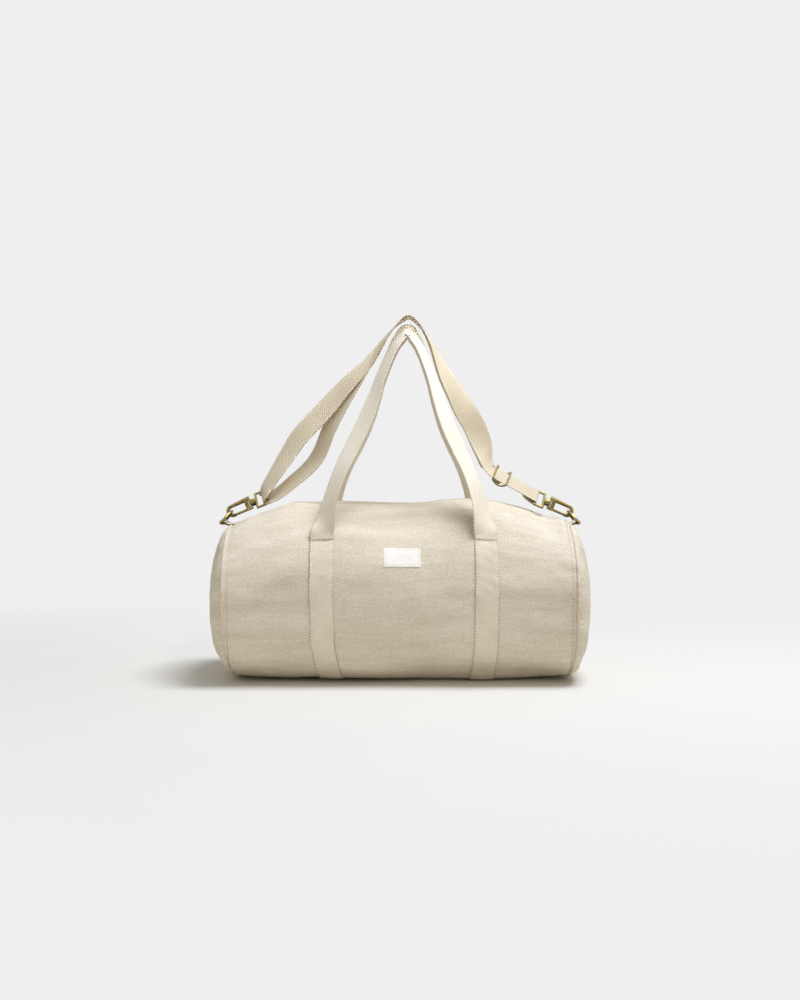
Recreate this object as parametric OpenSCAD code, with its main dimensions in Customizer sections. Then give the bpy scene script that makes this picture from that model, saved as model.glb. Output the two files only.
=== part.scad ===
// Barrel bag with two grab handles and an adjustable shoulder strap.
// X runs along the barrel, Y from front to back and Z up. The origin is on the
// surface that the bag rests on, below its middle. All lengths are millimetres.

/* [Bag body] */
// Length of the barrel between its two end seams
body_l = 450; // [420:1:500]
// Depth of the barrel from front to back
body_d = 236; // [216:1:256]
// Height of the barrel at its middle
body_h = 228; // [216:1:244]
// How far the top has sunk at the end seams
end_drop = 30; // [15:1:40]
// Bulge of each end panel beyond its seam
end_bulge = 30; // [18:1:40]
// Thickness of the canvas
canvas_t = 1.6; // [1.2:0.1:2.2]
// Width of the binding tape inside each end seam
binding_w = 9; // [6:0.5:12]
// Thickness of the binding tape
binding_t = 0.8; // [0.5:0.1:1.2]

/* [Zip] */
// Width of the opening between the two canvas edges
zip_gap_w = 18; // [15:0.5:24]
// Width of each zip tape
zip_tape_w = 13; // [12:0.5:15]
// Thickness of the zip tape
zip_tape_t = 0.7; // [0.5:0.1:1]
// Distance from one tooth to the next on the same tape
tooth_pitch = 5; // [4:0.5:8]
// Height of a tooth
tooth_h = 2.4; // [2:0.1:3]
// Length of the zip slider
slider_l = 14; // [11:0.5:18]
// Width of the zip slider
slider_w = 11; // [9:0.5:12]
// Height of the zip slider above the teeth
slider_h = 4; // [4:0.1:5]
// Length of the zip pull
pull_l = 30; // [20:1:40]

/* [Handles] */
// Width of the webbing of the handles and the shoulder strap
web_w = 30; // [26:0.5:32]
// Thickness of that webbing
web_t = 1.6; // [1.2:0.1:1.8]
// Distance between the middles of the two webbing bands round the barrel
band_spacing = 210; // [180:1:240]
// Height of the handles' top edge above the barrel
handle_rise = 241; // [200:1:243]
// Free space between a handle's foot and the band that it is sewn to
foot_gap = 0.3; // [0.25:0.05:0.5]

/* [Shoulder strap] */
// Height of the strap's top above the barrel
strap_rise = 251; // [245:1:265]
// Free space between two layers of the strap
layer_gap = 0.4; // [0.3:0.1:0.8]
// How far the adjuster can slide along the strap
adjuster_travel = 12; // [4:1:14]
// Wire thickness of the adjuster
adjuster_wire_d = 2.6; // [2.2:0.1:3]
// Distance between the adjuster's two end bars
adjuster_l = 20; // [18:0.5:24]

/* [Rings and hooks] */
// Wire thickness of the D-rings
ring_wire_d = 4; // [3:0.1:4.4]
// Free width inside a D-ring, and inside an eye
ring_inner_w = 33; // [33:0.5:36]
// Thickness of the cloth tab that holds a D-ring
tab_t = 1.4; // [1:0.1:1.8]
// Width of that tab
tab_w = 27; // [20:0.5:28]
// How far outside the end seam the ring's bar lies
ring_reach = 13; // [10:0.5:18]
// How far each ring leans in over the barrel, from straight up
ring_lean = 40; // [30:1:50]
// Wire thickness of the snap hooks
hook_wire_d = 4.5; // [4:0.1:5]
// Thickness of a hook's spine where it meets the collar
hook_spine_d = 6.4; // [5:0.1:7]
// Free width of a hook's mouth
hook_mouth_w = 8; // [7.4:0.1:9]
// Length of a hook from the ring's wire to its collar's far end
hook_l = 34; // [32:0.5:38]
// Slope of the hooks towards the strap
hook_slope = 23; // [18:1:28]
// How far each eye is turned to the front round its hook's shank
eye_turn = 30; // [20:1:32]
// Wire thickness of the swivel eyes
eye_wire_d = 3.2; // [2.8:0.1:3.6]

/* [Label] */
// Width of the sewn label
label_w = 47; // [40:1:60]
// Height of the sewn label, measured round the barrel
label_h = 26; // [22:1:34]
// Thickness of the label
label_t = 0.8; // [0.5:0.1:1.2]

/* [Hidden] */
$fn = 40;

canvas_colour = [0.82, 0.78, 0.69];
webbing_colour = [0.88, 0.84, 0.75];
tape_colour = [0.80, 0.74, 0.62];
label_colour = [0.95, 0.93, 0.88];
brass_colour = [0.58, 0.50, 0.30];
steel_colour = [0.60, 0.61, 0.63];

// The barrel's section: an ellipse above its middle, fuller below it, and flat at the bottom
half_l = body_l / 2;
half_d = body_d / 2;
half_h = body_h / 2;
mid_z = web_t + half_h;
top_z = web_t + body_h;
end_top_z = top_z - end_drop;
drop_start_share = 0.6;
drop_power = 1.4;
flat_power = 0.67;
flat_gain = 1.02;
section_steps = 36;
station_shares = [0, 0.3, 0.6, 0.68, 0.76, 0.83, 0.9];
gap_angle = asin(zip_gap_w / body_d);
step_angle = (360 - 2 * gap_angle) / section_steps;

function signed_pow(v, p) = sign(v) * pow(abs(v), p);
function top_drop(x) = end_drop
    * pow(max(0, (abs(x) / half_l - drop_start_share) / (1 - drop_start_share)), drop_power);
function wrap_angle(i) = 90 + gap_angle + i * step_angle;
// A point of the barrel at x, at angle a from the back, o outside the canvas's outer face
function section_point(x, a, o) = [
    x,
    (half_d + o) * signed_pow(cos(a), sin(a) < 0 ? flat_power : 1),
    mid_z + (sin(a) < 0 ? -(half_h + o) * min(1, flat_gain * pow(-sin(a), flat_power))
        : (half_h + o - top_drop(x)) * sin(a))];
// The same at a whole or part step, on the straight run between two steps
function wrap_point(x, s, o) = let (i = floor(s), f = s - i)
    section_point(x, wrap_angle(i), o) * (1 - f) + section_point(x, wrap_angle(i + 1), o) * f;
// A strip of cloth round the section, from one list of steps, as one closed ring
function strip_ring(x, steps, o_in, o_out) = concat(
    [for (s = steps) wrap_point(x, s, o_out)],
    [for (k = [len(steps) - 1 : -1 : 0]) wrap_point(x, steps[k], o_in)]);
all_steps = [for (i = [0 : section_steps]) i];

// Vectors and smooth curves
function unit(v) = v / norm(v);
function across(v, t) = unit(v - (v * t) * t);
function spline_point(a, b, c, d, f) = 0.5 * ((2 * b) + (c - a) * f
    + (2 * a - 5 * b + 4 * c - d) * pow(f, 2) + (3 * b - a - 3 * c + d) * pow(f, 3));
function smooth(p, k) = let (n = len(p)) concat(
    [for (i = [0 : n - 2], j = [0 : k - 1])
        spline_point(p[max(i - 1, 0)], p[i], p[i + 1], p[min(i + 2, n - 1)], j / k)],
    [p[n - 1]]);
function reversed(p) = [for (i = [len(p) - 1 : -1 : 0]) p[i]];
function mirror_y(p) = [p[0], -p[1], p[2]];

// A solid over a row of rings. Strips close their ends in pairs of points, and
// round shells close them with one flat face.
module skin(rings, strip = true) {
    m = len(rings[0]);
    n = len(rings);
    pairs = [for (j = [0 : m / 2 - 2]) [j, j + 1, m - 2 - j, m - 1 - j]];
    lid = strip ? pairs : [[for (j = [0 : m - 1]) j]];
    polyhedron(points = [for (r = rings) each r],
        faces = concat(
            [for (i = [0 : n - 2], j = [0 : m - 1]) let (k = (j + 1) % m)
                each [[i * m + j, (i + 1) * m + k, i * m + k],
                    [i * m + j, (i + 1) * m + j, (i + 1) * m + k]]],
            lid,
            [for (f = lid) [for (v = reversed(f)) v + (n - 1) * m]]));
}

// Webbing along points, each with the direction of its width
function run_direction(p, i) = unit(p[min(i + 1, len(p) - 1)] - p[max(i - 1, 0)]);
function ribbon_ring(c, t, w, width, thick) =
    let (u = across(w, t) * width / 2, v = cross(t, unit(u)) * thick / 2)
    [c - u - v, c + u - v, c + u + v, c - u + v];
module ribbon(run, width, thick) {
    p = [for (s = run) s[0]];
    skin([for (i = [0 : len(p) - 1]) ribbon_ring(p[i], run_direction(p, i), run[i][1], width, thick)]);
}

// Round bars of bent wire, along points
module wire(points, d, closed = false) {
    n = len(points);
    for (i = [0 : closed ? n - 1 : n - 2]) rod(points[i], points[(i + 1) % n], d);
    for (i = [closed ? 0 : 1 : closed ? n - 1 : n - 2]) translate(points[i]) sphere(d = d);
}
module rod(a, b, d) {
    v = b - a;
    translate(a) rotate([0, acos(v[2] / norm(v)), atan2(v[1], v[0])]) cylinder(d = d, h = norm(v));
}

// Canvas
tape_end_x = half_l - binding_w - foot_gap;
body_stations = concat([for (s = station_shares) s * half_l], [tape_end_x, half_l - binding_w, half_l]);
body_xs = concat([for (x = reversed(body_stations)) -x],
    [for (i = [1 : len(body_stations) - 1]) body_stations[i]]);
dome_middle_share = 0.39;
dome_z = web_t + dome_middle_share * body_h;
dome_turns = [0, 16, 33, 50, 67, 84];
dome_pole = [half_l, 0, dome_z];

module body_panel() color(canvas_colour)
    skin([for (x = body_xs) strip_ring(x, all_steps, -canvas_t, 0)]);

function dome_ring(turn, o) = [for (s = all_steps)
    let (p = wrap_point(half_l, s, o) - dome_pole)
        dome_pole + [(end_bulge + o) * sin(turn), p[1] * cos(turn), p[2] * cos(turn)]];
module right_end_panel() color(canvas_colour)
    skin(concat([for (t = reversed(dome_turns)) dome_ring(t, -canvas_t)],
        [for (t = dome_turns) dome_ring(t, 0)]), strip = false);
module left_end_panel() mirror([1, 0, 0]) right_end_panel();

binding_gap = 0.1;
module right_seam_binding() color(tape_colour)
    skin([for (x = [half_l - binding_w, half_l])
        strip_ring(x, all_steps, -canvas_t - binding_t - binding_gap, -canvas_t - binding_gap)]);
module left_seam_binding() mirror([1, 0, 0]) right_seam_binding();

// Label on the front, below the zip side of the left and right bands
label_x = 2.5;
label_step = 6.12;
label_half_steps = label_h / 2 / (step_angle * PI / 180 * half_d);
label_from = label_step - label_half_steps;
label_to = label_step + label_half_steps;
label_steps = concat([label_from], [for (i = [ceil(label_from) : floor(label_to)]) i], [label_to]);
module label() color(label_colour)
    skin([for (x = [label_x - label_w / 2, label_x + label_w / 2])
        strip_ring(x, label_steps, 0, label_t)]);

// Webbing bands round the barrel, sewn from one handle's foot to the other's
foot_step = 5;
band_middle_x = 5;
band_steps = [for (i = [foot_step : section_steps - foot_step]) i];
module sewn_webbing(x) color(webbing_colour)
    skin([for (e = [-web_w / 2, web_w / 2]) strip_ring(x + e, band_steps, 0, web_t)]);
module left_sewn_webbing() sewn_webbing(band_middle_x - band_spacing / 2);
module right_sewn_webbing() sewn_webbing(band_middle_x + band_spacing / 2);

// Zip
tape_edge_y = 1.5;
tape_outer_y = tape_edge_y + zip_tape_w;
canvas_edge_y = zip_gap_w / 2;
second_step_y = half_d * sin(gap_angle + step_angle);
// Height of the tape's upper face: just under the canvas, all along the barrel
function tape_z(x) = let (
        a = section_point(x, wrap_angle(0), -canvas_t)[2],
        b = section_point(x, wrap_angle(1), -canvas_t)[2])
    a + (b - a) * (tape_outer_y - canvas_edge_y) / (second_step_y - canvas_edge_y);
tape_xs = [for (i = [1 : len(body_xs) - 2]) body_xs[i]];
tape_ring_tops = [for (x = tape_xs) [x, tape_z(x)]];
module back_zip_tape() color(tape_colour)
    skin([for (p = tape_ring_tops) [
        [p[0], tape_edge_y, p[1] - zip_tape_t], [p[0], tape_outer_y, p[1] - zip_tape_t],
        [p[0], tape_outer_y, p[1]], [p[0], tape_edge_y, p[1]]]]);
module front_zip_tape() mirror([0, 1, 0]) back_zip_tape();

tooth_length_share = 0.4;
tooth_l = tooth_length_share * tooth_pitch;
tooth_overlap = 0.9;
stop_l = 4;
teeth_end_x = tape_end_x - 2 * stop_l;
teeth_count = floor(2 * teeth_end_x / tooth_pitch);
module tooth_row(shift) color(brass_colour)
    for (i = [0 : teeth_count - 1]) let (x = shift - teeth_end_x + (i + 0.5) * tooth_pitch)
        translate([x - tooth_l / 2, -tooth_overlap, tape_z(x) - zip_tape_t / 2 - tooth_h / 2])
            cube([tooth_l, tape_edge_y + tooth_overlap, tooth_h]);
module back_zip_teeth() tooth_row(0);
module front_zip_teeth() mirror([0, 1, 0]) tooth_row(-tooth_pitch / 2);
module zip_end_stops() color(brass_colour)
    for (x = [-tape_end_x + stop_l, tape_end_x - stop_l])
        translate([x, 0, tape_z(x) - zip_tape_t / 2]) cube([stop_l, 2 * tape_edge_y, tooth_h], center = true);

// Slider: a plate with two flanges over the teeth and a plate below them
slider_clear = 0.3;
slider_plate_t = 1;
slider_x = drop_start_share * half_l - slider_l;
flat_tape_z = tape_z(0);
teeth_top_z = flat_tape_z - zip_tape_t / 2 + tooth_h / 2;
teeth_low_z = teeth_top_z - tooth_h;
plate_z = teeth_top_z + slider_clear;
flange_t = 1.4;
ear_t = 1;
ear_gap = 4.2;
pull_pin_d = 1.6;
pin_clear = 0.05;
pin_cover = 0.6;
pull_pin_z = plate_z + slider_plate_t + slider_h - pull_pin_d / 2 - pin_cover;
ear_l = pull_pin_d + 2 * ear_t;
module zip_slider() color(brass_colour) {
    translate([slider_x - slider_l / 2, -slider_w / 2, plate_z]) cube([slider_l, slider_w, slider_plate_t]);
    translate([slider_x - slider_l / 2, -slider_w / 2, teeth_low_z - slider_clear - slider_plate_t])
        cube([slider_l, slider_w, slider_plate_t]);
    for (s = [-1, 1]) {
        translate([slider_x, s * (slider_w - flange_t) / 2, (plate_z + flat_tape_z + slider_clear) / 2])
            cube([slider_l, flange_t, plate_z - flat_tape_z - slider_clear], center = true);
        translate([slider_x, s * (ear_gap + ear_t) / 2, plate_z + slider_plate_t])
            translate([-ear_l / 2, -ear_t / 2, 0]) cube([ear_l, ear_t, slider_h]);
    }
    translate([slider_x, -ear_gap / 2 - ear_t, pull_pin_z])
        rotate([-90, 0, 0]) cylinder(d = pull_pin_d, h = ear_gap + 2 * ear_t);
}

pull_t = 1.6;
pull_w = 8;
pull_neck_w = ear_gap - 2 * slider_clear;
pull_eye_d = pull_pin_d + 2 * ear_t;
pull_neck_l = ear_l + ear_t;
pull_hole_d = 4;
module zip_pull() color(brass_colour) translate([slider_x, 0, pull_pin_z]) mirror([1, 0, 0]) difference() {
    union() {
        translate([0, -pull_neck_w / 2, 0]) rotate([-90, 0, 0]) cylinder(d = pull_eye_d, h = pull_neck_w);
        translate([0, -pull_neck_w / 2, -pull_t / 2]) cube([pull_neck_l, pull_neck_w, pull_t]);
        translate([pull_neck_l, -pull_w / 2, -pull_t / 2])
            cube([pull_l - pull_neck_l - pull_w / 2, pull_w, pull_t]);
        translate([pull_l - pull_w / 2, 0, -pull_t / 2]) cylinder(d = pull_w, h = pull_t);
    }
    translate([0, -pull_neck_w, 0]) rotate([-90, 0, 0])
        cylinder(d = pull_pin_d + 2 * pin_clear, h = 2 * pull_neck_w);
    translate([pull_l - pull_w / 2, 0, -pull_t]) cylinder(d = pull_hole_d, h = 2 * pull_t);
}

// Handles. Each rises from its two feet to a shared top, and turns from flat on
// the barrel to edge on, then leans against the other handle's top edge.
hang_x = 10;
apex_tilt = 40;
apex_edge_y = 3;
foot_base = section_point(0, wrap_angle(foot_step), 0);
foot_out = [0, cos(wrap_angle(foot_step)), sin(wrap_angle(foot_step))];
foot_up = [0, foot_out[2], -foot_out[1]];
foot = foot_base + foot_out * (web_t + foot_gap) + foot_up * (web_t / 2 + 2 * foot_gap);
handle_top_z = top_z + handle_rise;
handle_apex_y = -apex_edge_y - web_w / 2 * cos(apex_tilt);
handle_apex_z = handle_top_z - web_w / 2 * sin(apex_tilt) - web_t / 2;
// Along a leg: reach towards the top, rise, and turn from flat to edge on
leg_shares = [
    [0, 0, 0], [0, 0.03, 0], [0.04, 0.09, 0.4], [0.08, 0.17, 0.56], [0.15, 0.26, 0.6], [0.24, 0.35, 0.6],
    [0.34, 0.43, 0.58], [0.47, 0.54, 0.6], [0.585, 0.66, 0.7], [0.675, 0.767, 0.82],
    [0.79, 0.88, 0.92], [0.89, 0.955, 0.97], [1, 1, 1]];
function leg(foot_x) = [for (s = leg_shares) [
    foot_x + (hang_x - foot_x) * s[0],
    foot[1] + (handle_apex_y - foot[1]) * s[1],
    foot[2] + (handle_apex_z - foot[2]) * s[1]]];
left_foot_x = band_middle_x - band_spacing / 2;
right_foot_x = band_middle_x + band_spacing / 2;
leg_last = len(leg_shares) - 1;
handle_points = smooth(concat(leg(left_foot_x),
    [for (i = [leg_last - 1 : -1 : 0]) leg(right_foot_x)[i]]), 2);
handle_turns = smooth(concat([for (s = leg_shares) [s[2], s[1]]],
    [for (i = [leg_last - 1 : -1 : 0]) [leg_shares[i][2], leg_shares[i][1]]]), 2);
function handle_width(t, turn, tilt) = let (f = across([0, -cos(tilt), -sin(tilt)], t))
    cos(turn) * cross(t, f) + sin(turn) * f;
handle_run = [for (i = [0 : len(handle_points) - 1]) [handle_points[i],
    handle_width(run_direction(handle_points, i), 90 * handle_turns[i][0],
        apex_tilt * pow(handle_turns[i][1], 2))]];
module front_handle() color(webbing_colour) ribbon(handle_run, web_w, web_t);
module back_handle() mirror([0, 1, 0]) front_handle();

// D-rings in their cloth tabs. The hardware is drawn at the right end, and the
// left end's is its mirror image.
ring_r = (ring_inner_w + ring_wire_d) / 2;
ring_rise = 5;
ring_bar = [half_l + ring_reach, 0, end_top_z + ring_rise];
ring_bow = ring_bar + ring_r * [-sin(ring_lean), 0, cos(ring_lean)];
tab_clear = 0.1;
tab_sleeve_r = ring_wire_d / 2 + tab_clear + tab_t;
module at_ring() translate(ring_bar) rotate([0, -ring_lean, 0]) children();
module right_d_ring() color(brass_colour) at_ring() {
    rotate([90, 0, 90]) rotate_extrude(angle = 180) translate([ring_r, 0]) circle(d = ring_wire_d);
    wire([[0, -ring_r, 0], [0, ring_r, 0]], ring_wire_d);
    for (y = [-ring_r, ring_r]) translate([0, y, 0]) sphere(d = ring_wire_d);
}
module left_d_ring() mirror([1, 0, 0]) right_d_ring();

tab_root = [half_l, 0, end_top_z + tab_t];
tab_run = ring_bar - tab_root;
tab_slope = atan2(tab_run[2], tab_run[0]);
module right_ring_tab() color(canvas_colour) difference() {
    union() {
        translate(ring_bar - [0, tab_w / 2, 0]) rotate([-90, 0, 0]) cylinder(r = tab_sleeve_r, h = tab_w);
        translate(tab_root) rotate([0, -tab_slope, 0])
            translate([0, -tab_w / 2, -tab_t]) cube([norm(tab_run), tab_w, 2 * tab_t]);
    }
    translate(ring_bar - [0, tab_w, 0]) rotate([-90, 0, 0])
        cylinder(r = ring_wire_d / 2 + tab_clear, h = 2 * tab_w);
}
module left_ring_tab() mirror([1, 0, 0]) right_ring_tab();

// Snap hooks. X runs from the ring's wire to the collar, and the spine lies up.
seat_gap = 0.85;
hook_r = (hook_mouth_w + hook_wire_d) / 2;
bend_x = hook_mouth_w / 2 - ring_wire_d / 2 - seat_gap;
nose_l = 3;
collar_l = 5.5;
collar_d = 10;
block_l = 8.5;
block_w = 7;
block_edge = 1.4;
post_d = 4;
post_head_d = 6.4;
post_head_l = 2.2;
pocket_l = 3.6;
swivel_clear = 0.08;
collar_x = hook_l - collar_l;
spine_end_l = 1;
block_x = collar_x - block_l;
gate_pin_d = 1.5;
gate_hub_d = 4.2;
gate_arm_d = 3.4;
gate_slot_w = 4.2;
gate_gap = 0.3;
gate_pin_x = block_x + gate_hub_d / 2 + gate_gap;
gate_tip_x = bend_x + nose_l + gate_gap;
spring_w = 1.2;
gate_hub_w = gate_slot_w - spring_w - 3 * gate_gap;
module at_hook() translate(ring_bow) rotate([0, 0, 180]) rotate([0, -hook_slope, 0]) children();
module right_hook() color(brass_colour) at_hook() {
    translate([bend_x, 0, 0]) rotate([0, -90, 0]) rotate([90, 0, 0])
        rotate_extrude(angle = 180) translate([hook_r, 0]) circle(d = hook_wire_d);
    translate([bend_x, 0, -hook_r]) rotate([0, 90, 0]) cylinder(d = hook_wire_d, h = nose_l);
    hull() for (p = [[bend_x, hook_wire_d], [collar_x - spine_end_l, hook_spine_d]])
        translate([p[0], 0, hook_r + (p[1] - hook_wire_d) / 2]) rotate([0, 90, 0])
            cylinder(d = p[1], h = spine_end_l);
    difference() {
        union() {
            translate([block_x, -block_w / 2, -hook_r - gate_hub_d / 2])
                cube([block_l, block_w, 2 * hook_r + gate_hub_d / 2 + block_edge]);
            translate([collar_x, 0, 0]) rotate([0, 90, 0]) cylinder(d = collar_d, h = collar_l);
        }
        translate([collar_x - pocket_l, -block_w, -post_head_d / 2 - gate_gap])
            cube([pocket_l, 2 * block_w, post_head_d + 2 * gate_gap]);
        translate([collar_x - pocket_l, 0, 0]) rotate([0, 90, 0])
            cylinder(d = post_d + 2 * swivel_clear, h = pocket_l + 2 * collar_l);
        translate([block_x - gate_gap, -gate_slot_w / 2, -hook_r - gate_hub_d])
            cube([gate_hub_d + 3 * gate_gap, gate_slot_w, 2 * gate_hub_d - gate_gap]);
        translate([gate_pin_x, -block_w, -hook_r]) rotate([-90, 0, 0])
            cylinder(d = gate_pin_d, h = 2 * block_w);
    }
}
module left_hook() mirror([1, 0, 0]) right_hook();
module right_gate_pin() color(steel_colour) at_hook()
    translate([gate_pin_x, -block_w / 2, -hook_r]) rotate([-90, 0, 0]) cylinder(d = gate_pin_d, h = block_w);
module left_gate_pin() mirror([1, 0, 0]) right_gate_pin();
module right_gate() color(brass_colour) at_hook() difference() {
    union() {
        translate([gate_pin_x, gate_gap - gate_slot_w / 2, -hook_r]) rotate([-90, 0, 0])
            cylinder(d = gate_hub_d, h = gate_hub_w);
        translate([gate_tip_x, 0, -hook_r]) rotate([0, 90, 0])
            cylinder(d = gate_arm_d, h = gate_pin_x - gate_tip_x);
    }
    translate([gate_pin_x, -gate_slot_w, -hook_r]) rotate([-90, 0, 0])
        cylinder(d = gate_pin_d + 2 * pin_clear, h = 2 * gate_slot_w);
    translate([gate_pin_x - gate_hub_d, gate_hub_w + 1.5 * gate_gap - gate_slot_w / 2, -hook_r - gate_hub_d])
        cube([2 * gate_hub_d, spring_w + gate_gap, 2 * gate_hub_d]);
}
module left_gate() mirror([1, 0, 0]) right_gate();
module right_gate_spring() color(steel_colour) at_hook()
    translate([gate_pin_x, gate_slot_w / 2 - gate_gap - spring_w, -hook_r]) rotate([-90, 0, 0])
    difference() {
        cylinder(d = gate_hub_d - 2 * gate_gap, h = spring_w);
        translate([0, 0, -spring_w]) cylinder(d = gate_pin_d + 2 * pin_clear, h = 3 * spring_w);
    }
module left_gate_spring() mirror([1, 0, 0]) right_gate_spring();

// Swivel eyes: a headed post in the collar, and a wire frame for the webbing
eye_near_x = hook_l + eye_wire_d / 2 + gate_gap;
eye_depth = 12;
eye_far_x = eye_near_x + eye_depth;
eye_side_y = (ring_inner_w + eye_wire_d) / 2;
module right_eye() color(brass_colour) at_hook() rotate([-eye_turn, 0, 0]) {
    wire([[eye_near_x, -eye_side_y, 0], [eye_near_x, eye_side_y, 0],
        [eye_far_x, eye_side_y, 0], [eye_far_x, -eye_side_y, 0]], eye_wire_d, closed = true);
    translate([collar_x - gate_gap - post_head_l, 0, 0]) rotate([0, 90, 0])
        cylinder(d = post_head_d, h = post_head_l);
    translate([collar_x - gate_gap - post_head_l, 0, 0]) rotate([0, 90, 0])
        cylinder(d = post_d, h = eye_near_x - collar_x + gate_gap + post_head_l);
}
module left_eye() mirror([1, 0, 0]) right_eye();

// Shoulder strap: one length of webbing. From its sewn fold at the right eye it
// runs through the adjuster, over the top and round the left eye, and comes back
// under itself to the adjuster's middle bar.
strap_z = top_z + strap_rise - web_t / 2;
layer_step = web_t + layer_gap;
hook_way = [-cos(hook_slope), 0, sin(hook_slope)];
hook_under = [-sin(hook_slope), 0, -cos(hook_slope)];
right_eye_bar = ring_bow + eye_far_x * hook_way;
right_eye_way = cos(eye_turn) * [0, -1, 0] + sin(eye_turn) * hook_under;
left_eye_bar = [-right_eye_bar[0], 0, right_eye_bar[2]];
left_eye_way = [-right_eye_way[0], right_eye_way[1], right_eye_way[2]];
fold_r = eye_wire_d / 2 + layer_gap + web_t / 2;

// The straight run from the adjuster down to the right eye
run_slope = 29;
run_room = 42;
run_reach = run_room + adjuster_travel;
run_way = [cos(run_slope), 0, -sin(run_slope)];
run_width = across(right_eye_way, run_way);
run_out = cross(run_width, run_way);
run_end = right_eye_bar + fold_r * run_out;
adjuster_c = run_end - run_reach * run_way;
run_lead = adjuster_l / 2 + 2 * adjuster_wire_d + layer_gap;

// Branches seen from the front: reach and rise from the eye to the top, or reach
// and fall from the top to the adjuster, and the turn to the front in degrees
outer_left_shares = [
    [0.012, 0.05], [0.09, 0.149], [0.173, 0.25], [0.257, 0.347], [0.416, 0.48], [0.565, 0.614],
    [0.728, 0.748], [0.843, 0.875], [0.92, 0.95]];
outer_left_turns = [34, 42, 52, 58, 58, 48, 30, 12, 3];
inner_left_shares = [
    [0.045, 0.001], [0.1, 0.025], [0.178, 0.075], [0.31, 0.167], [0.387, 0.252], [0.455, 0.386],
    [0.545, 0.52], [0.652, 0.654], [0.761, 0.788], [0.84, 0.88], [0.92, 0.955]];
inner_left_turns = [31, 33, 36, 40, 42, 42, 38, 30, 20, 8, 2];
right_shares = [
    [0.125, 0.04], [0.23, 0.12], [0.311, 0.2], [0.376, 0.28], [0.465, 0.385], [0.58, 0.495],
    [0.685, 0.605], [0.768, 0.68], [0.83, 0.75], [0.88, 0.82], [0.915, 0.88], [0.945, 0.94]];
right_turns = [2, 6, 14, 24, 40, 58, 76, 83, 80, 68, 52, 38];
// The right branch passes behind the front handle: how far back, in mm
right_backs = [2, 4.5, 6, 6, 4.5, 3, 1.5, 0.5, 0, -0.4, -0.8, -1.1];

function strap_point(a, b, s) = [a[0] + (b[0] - a[0]) * s[0], 0, a[2] + (b[2] - a[2]) * s[1]];
strap_apex = [hang_x, 0, strap_z];
outer_left = [for (s = outer_left_shares) strap_point(left_eye_bar, strap_apex, s)];
inner_left = [for (s = inner_left_shares) strap_point(left_eye_bar, strap_apex - [0, 0, layer_step], s)];
run_start = adjuster_c - run_lead * run_way;
outer_right = [for (i = [0 : len(right_shares) - 1])
    strap_point(strap_apex, run_start, right_shares[i]) + right_backs[i] * [0, 1, 0]];

// A branch from left to right as points with the direction of the width
function inner_way(t) = [t[2], 0, -t[0]];
function branch(points, turns) = [for (i = [0 : len(points) - 1])
    let (t = run_direction(points, i))
        [points[i], cos(turns[i]) * [0, -1, 0] + sin(turns[i]) * inner_way(t)]];
function smooth_branch(points, turns, k) = let (q = smooth([for (i = [0 : len(points) - 1])
        concat(points[i], [turns[i]])], k))
    branch([for (v = q) [v[0], v[1], v[2]]], [for (v = q) v[3]]);
outer_arch = smooth_branch(concat(outer_left, [strap_apex], outer_right, [run_start]),
    concat(outer_left_turns, [0], right_turns, [eye_turn]), 2);
inner_arch = smooth_branch(concat(inner_left, [strap_apex - [0, 0, layer_step]]),
    concat(inner_left_turns, [0]), 2);
// The second layer lies under the first one from the top down to the adjuster
apex_index = 2 * len(outer_left);
under_right = [for (i = [apex_index + 1 : len(outer_arch) - 2])
    let (t = run_direction([for (q = outer_arch) q[0]], i), w = across(outer_arch[i][1], t))
        [outer_arch[i][0] - layer_step * cross(w, t), w]];
outer_arch_run = concat(
    [for (i = [0 : len(outer_arch) - 2]) outer_arch[i]],
    [for (d = [0, run_lead / 2, run_lead, run_lead + adjuster_l / 2, run_reach + run_lead])
        [run_start + d * run_way, run_width]]);

fold_angles = [for (i = [1 : 7]) i * 180 / 8];
left_fold_from = 162;
left_fold_to = 300;
left_fold_count = 7;
left_side = across([1, 0, 0], left_eye_way);
left_rise = cross(left_eye_way, left_side);
tail_l = 18;
tail_rise = 2 * fold_r - layer_step;
fold_way = across(run_way, right_eye_way);
right_fold = concat(
    [for (f = [1, 0.5, 0]) [right_eye_bar - fold_r * run_out
        + f * (tail_rise * run_out - tail_l * fold_way), right_eye_way]],
    [for (a = fold_angles)
        [right_eye_bar - fold_r * (cos(a) * run_out - sin(a) * fold_way), right_eye_way]]);
left_fold = [for (i = [0 : left_fold_count])
    let (a = left_fold_from + (left_fold_to - left_fold_from) * i / left_fold_count)
        [left_eye_bar + fold_r * (cos(a) * left_side + sin(a) * left_rise), left_eye_way]];
strap_run = concat(right_fold, reversed(outer_arch_run), left_fold, inner_arch, under_right);
module strap_webbing() color(webbing_colour) ribbon(strap_run, web_w, web_t);

// Adjuster: two end bars above the strap, a middle bar below it and bowed sides
bar_gap = 0.15;
loop_r = adjuster_wire_d / 2 + bar_gap + web_t / 2;
loop_depth = web_t + foot_gap;
middle_bar_depth = loop_depth + loop_r;
end_bar_height = web_t / 2 + foot_gap + adjuster_wire_d / 2;
rail_y = (ring_inner_w + adjuster_wire_d) / 2;
rail_bow = end_bar_height + middle_bar_depth;
rail_r = (pow(adjuster_l / 2, 2) + pow(rail_bow, 2)) / (2 * rail_bow);
rail_half_turn = asin(adjuster_l / 2 / rail_r);
function at_adjuster(s, w, h) = adjuster_c + s * run_way + w * run_width + h * run_out;
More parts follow.
